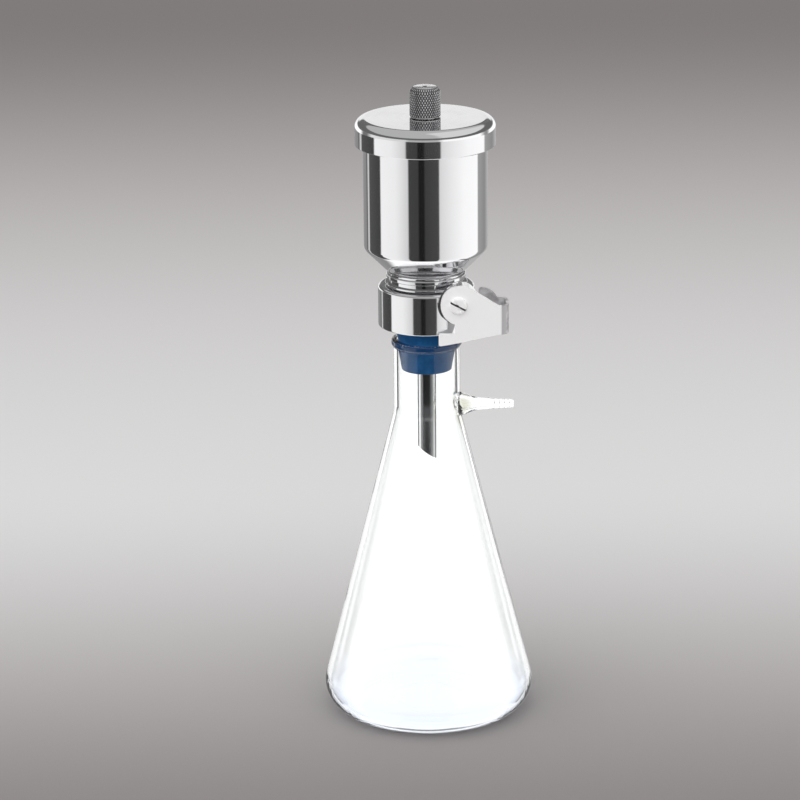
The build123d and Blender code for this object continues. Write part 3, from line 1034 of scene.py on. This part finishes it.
# ------------------------------------------------------------------ studio
@dataclass(frozen=True)
class Floor(Assembly):
    """A level floor with painted light: its tone falls off in front and far behind, and warms as
    it darkens.

    Attributes:
        reach: half the floor's width.
        near, peak, far: its tones of painted light in front, just behind the unit and far behind.
        rise, fall: where along Y its tone goes up from near to peak, and down to far.
        warming: how much warmer it gets as its tone falls.
        red_lift, red_gain: the red at the peak, and what warmth adds to it.
        cool_loss: what warmth takes from the green and the blue.
    """

    reach: float = 30.0
    near: float = 0.25
    peak: float = 0.75
    far: float = FAR_TONE
    rise: tuple[float, float] = (-0.35, 0.55)
    fall: tuple[float, float] = (0.34, 2.95)
    warming: float = 0.16
    red_lift: float = 1.003
    red_gain: float = 0.4
    cool_loss: float = 0.6

    def build(self) -> None:
        """Lays the floor and paints it."""
        mesh = bpy.data.meshes.new("studio_floor")
        signs = ((-1, -1), (1, -1), (1, 1), (-1, 1))
        places = [(self.reach * across, self.reach * along, 0) for across, along in signs]
        mesh.from_pydata(places, [], [(0, 1, 2, 3)])
        mesh.materials.append(self._paper())
        ground = bpy.data.objects.new("studio_floor", mesh)
        bpy.context.scene.collection.objects.link(ground)
        ground.visible_glossy = False
        ground.visible_transmission = False
        LOG.info("laid the floor")

    def _paper(self) -> bpy.types.Material:
        """The floor's material, with light painted on it: its tone follows the distance from the
        camera.
        """
        material = bpy.data.materials.new("studio_floor_paper")
        material.use_nodes = True
        graph = Graph(material.node_tree)
        _, y, _, _ = graph.position()
        # Painted light: brightest just behind the unit, falling off in front and far behind.
        tone = y.step(*self.rise).between(self.near, self.peak)
        tone = y.step(*self.fall).between(tone, self.far)
        warmth = self.warming * (self.peak - tone)
        cool = tone * (1.0 - self.cool_loss * warmth)
        parts = {0: tone * (self.red_lift + self.red_gain * warmth), 1: cool, 2: cool}
        paint = graph.add("ShaderNodeCombineColor", None, parts)
        paper = graph.add("ShaderNodeBsdfDiffuse", None, {"Color": paint})
        graph.add("ShaderNodeOutputMaterial", None, {"Surface": paper})
        return material


@dataclass(frozen=True)
class Panel:
    """A stretch of what polished metal mirrors, from one azimuth to another."""

    start: float
    end: float
    start_tone: float
    end_tone: float

    def stops(self) -> list[tuple[float, Colour]]:
        """The stretch's two colour stops, with the front in the middle of the ramp."""
        ends = ((self.start, self.start_tone), (self.end, self.end_tone))
        return [(azimuth / 360 + 0.5, (tone,) * 3) for azimuth, tone in ends]


@dataclass(frozen=True)
class Span:
    """A stretch of azimuths or elevations, with a soft edge outside each end."""

    low: float
    high: float
    edge: float

    def mask(self, angle: Wire) -> Wire:
        """1 inside the stretch and 0 beyond its edges."""
        return angle.band(self.low, self.high, self.edge)


@dataclass(frozen=True)
class Softboxes:
    """Light that polished metal mirrors and that glass lets through, by direction.

    Azimuth is 0 in front of the unit and 90 to its right. Elevation is 0 at the horizon.

    Attributes:
        walls: panels below the horizon, which upright metal mirrors.
        rims: panels above them, which rounded rims mirror.
        inner: panels for light that came through the glass, as on the drain tube.
        gain: what all of the light is multiplied by.
        front, middle, key_side: azimuths in front, in the middle and of the overcast's key.
        walls_from, rims_from, cover_from: elevations where walls, rims and overcast start.
        gap: elevations of the dark gap in front, which steep round shoulders mirror.
        side_light: elevations of the white at the sides, which the flask's edges pass on.
        back_light: elevations of the light behind, which brightens the lid's top.
        inner_light: elevations of the inner panels.
        under_shade: elevations behind that the flask's inside would mirror too brightly.
        overcast_tone, key_tone, gap_tone, back_tone: tones of those lights.
        shade_depth: how much of the light the under-shade takes.
    """

    walls: tuple[Panel, ...] = (
        Panel(-180, -142, 0.28, 0.22),
        Panel(-139, -136, 0.10, 0.12),
        Panel(-134, -129, 0.56, 0.56),
        Panel(-127, -93, 0.08, 0.05),
        Panel(-91, -58, 0.86, 0.82),
        Panel(-50, -33, 0.76, 0.60),
        Panel(-31, -14, 0.05, 0.045),
        Panel(-12, -3, 0.012, 0.012),
        Panel(-1, 24, 0.045, 0.06),
        Panel(26, 50, 0.66, 0.80),
        Panel(75, 111, 0.92, 0.96),
        Panel(114, 140, 0.32, 0.24),
        Panel(160, 180, 0.40, 0.36),
    )
    rims: tuple[Panel, ...] = (
        Panel(-180, -108, 0.12, 0.16),
        Panel(-96, -34, 0.72, 0.62),
        Panel(-26, 20, 0.40, 0.42),
        Panel(30, 100, 0.95, 1.00),
        Panel(112, 180, 0.26, 0.12),
    )
    inner: tuple[Panel, ...] = (
        Panel(-180, -145, 1.00, 1.00),
        Panel(-141, -120, 0.04, 0.04),
        Panel(-108, -86, 1.00, 1.00),
        Panel(-76, -52, 0.26, 0.16),
        Panel(-44, 34, 0.015, 0.020),
        Panel(44, 78, 0.08, 0.30),
        Panel(86, 108, 0.62, 0.70),
        Panel(120, 141, 0.05, 0.05),
        Panel(145, 180, 1.00, 1.00),
    )
    gain: float = 1.25

    front: Span = Span(-158.4, 158.4, 10.8)
    middle: Span = Span(-118.8, 118.8, 10.8)
    key_side: Span = Span(36.0, 144.0, 18.0)

    walls_from: tuple[float, float] = (-56.0, -44.0)
    rims_from: tuple[float, float] = (-11.0, -9.0)
    cover_from: tuple[float, float] = (28.0, 32.0)
    gap: Span = Span(11.0, 28.0, 3.0)
    side_light: Span = Span(-9.0, 5.0, 2.0)
    back_light: Span = Span(-8.0, 13.3, 1.0)
    inner_light: Span = Span(-36.0, 10.0, 2.0)
    under_shade: Span = Span(-60.0, -44.0, 2.0)

    overcast_tone: float = 0.42
    key_tone: float = 0.62
    gap_tone: float = 0.12
    back_tone: float = 0.77
    shade_depth: float = 0.9

    def light(self, graph: Graph, azimuth: Wire, elevation: Wire, through: Wire) -> Wire:
        """The softboxes' light in a direction.

        Args:
            graph: the world's graph.
            azimuth: the direction's azimuth.
            elevation: its elevation.
            through: 1 for light that came through the glass.

        Returns:
            The light's strength.
        """
        front = self.front.mask(azimuth)
        behind = 1.0 - front
        sides = 1.0 - self.middle.mask(azimuth)
        walls = self._row(graph, self.walls, azimuth)
        rims = self._row(graph, self.rims, azimuth)
        cover = self.key_side.mask(azimuth).between(self.overcast_tone, self.key_tone)
        level = elevation.step(*self.walls_from).between(1.0, walls)
        level = elevation.step(*self.rims_from).between(level, rims)
        level = elevation.step(*self.cover_from).between(level, cover)
        level = (front * self.gap.mask(elevation)).between(level, self.gap_tone)
        level = (sides * self.side_light.mask(elevation)).between(level, 1.0)
        level = (behind * self.back_light.mask(elevation)).between(level, self.back_tone)
        inner = self._row(graph, self.inner, azimuth)
        in_glass = self.inner_light.mask(elevation).between(1.0, inner)
        shade = self.shade_depth * behind * self.under_shade.mask(elevation)
        return through.between(level, in_glass * (1.0 - shade)) * self.gain

    @staticmethod
    def _row(graph: Graph, panels: tuple[Panel, ...], azimuth: Wire) -> Wire:
        """The tone of a row of panels at an azimuth."""
        stops = [stop for panel in panels for stop in panel.stops()]
        ramp = graph.add("ShaderNodeValToRGB", {"stops": stops}, {0: azimuth / 360 + 0.5})
        return graph.add("ShaderNodeSeparateColor", None, {0: ramp})


@dataclass(frozen=True)
class Sky(Assembly):
    """The world: softboxes for metal, white behind glass, and plain light for the rest.

    Attributes:
        softboxes: what mirror-like rays see.
        background: what the camera sees beyond the floor.
        glass_white: what it sees through the glass.
        fill_light, main_light: the plain light from all round and from one side.
        main_from: where the main light comes from, with a length that is its weight.
    """

    softboxes: Softboxes = Softboxes()
    background: float = FAR_TONE
    glass_white: float = 1.22
    fill_light: float = 0.55
    main_light: float = 1.15
    main_from: Triple = (-0.30, -0.90, 0.35)

    def build(self) -> None:
        """Lights the studio, with a tone for each kind of ray."""
        world = bpy.data.worlds.new("studio_world")
        world.use_nodes = True
        bpy.context.scene.world = world
        world.cycles.sampling_method = "NONE"
        graph = Graph(world.node_tree)
        toward = graph.add("ShaderNodeTexCoord", output="Generated")
        x = graph.add("ShaderNodeSeparateXYZ", None, {0: toward})
        y, z = x.output("Y"), x.output("Z")
        azimuth = x.angle_to(y * -1.0) * degrees(1)
        elevation = z.arcsine() * degrees(1)
        rays = graph.add("ShaderNodeLightPath")
        diffuse, glossy, through = (
            rays.output(f"{kind} Depth") > 0.5 for kind in ("Diffuse", "Glossy", "Transmission")
        )
        facing = x * self.main_from[0] + y * self.main_from[1] + z * self.main_from[2]
        plain = self.fill_light + self.main_light * facing.clamped()
        tone = through.between(self.background, self.glass_white)
        tone = glossy.between(tone, self.softboxes.light(graph, azimuth, elevation, through))
        tone = diffuse.between(tone, plain)
        light = graph.add("ShaderNodeBackground", None, {"Color": (1, 1, 1, 1), "Strength": tone})
        graph.add("ShaderNodeOutputWorld", None, {"Surface": light})
        LOG.info("lit the studio")


@dataclass(frozen=True)
class Camera(Assembly):
    """A long lens, from in front and a little above.

    Attributes:
        lens, sensor: focal length and the sensor's width, in millimetres.
        distance, height: where the camera stands.
        pitch, roll: how far it looks down and leans.
        shift: how far the picture is shifted, as a share of its width.
        bounces: how often light may bounce, in all and of each kind.
    """

    lens: float = 152.0
    sensor: float = 36.0
    distance: float = 2.530
    height: float = 1.048
    pitch: float = 17.4
    roll: float = 0.4
    shift: float = -0.0249
    bounces: int = 24

    def build(self) -> None:
        """Places the camera and sets how the scene is seen."""
        data = bpy.data.cameras.new("studio_camera")
        data.lens = self.lens
        data.sensor_width = self.sensor
        data.shift_x = self.shift
        camera = bpy.data.objects.new("studio_camera", data)
        scene = bpy.context.scene
        scene.collection.objects.link(camera)
        camera.location = (0.0, -self.distance, self.height)
        camera.rotation_mode = "XYZ"
        camera.rotation_euler = (radians(90 - self.pitch), radians(self.roll), 0.0)
        scene.camera = camera
        scene.view_settings.view_transform = "Standard"
        self._set_light_paths(scene.cycles)
        LOG.info("placed the camera")

    def _set_light_paths(self, cycles: bpy.types.PropertyGroup) -> None:
        """Lets light pass all the walls of the flask and mirror between the pieces."""
        cycles.max_bounces = self.bounces
        cycles.glossy_bounces = self.bounces
        cycles.transmission_bounces = self.bounces


def main() -> None:
    """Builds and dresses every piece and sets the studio."""
    logging.basicConfig(level=logging.INFO, format="%(name)s: %(message)s")
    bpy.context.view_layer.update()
    unit = (Flask(), Stopper(), Holder(), Funnel(), LidAndVent(), Knob(), Stud(), Clamp())
    studio = (Floor(), Sky(), Camera())
    for assembly in unit + studio:
        assembly.build()


if __name__ == "__main__":
    main()
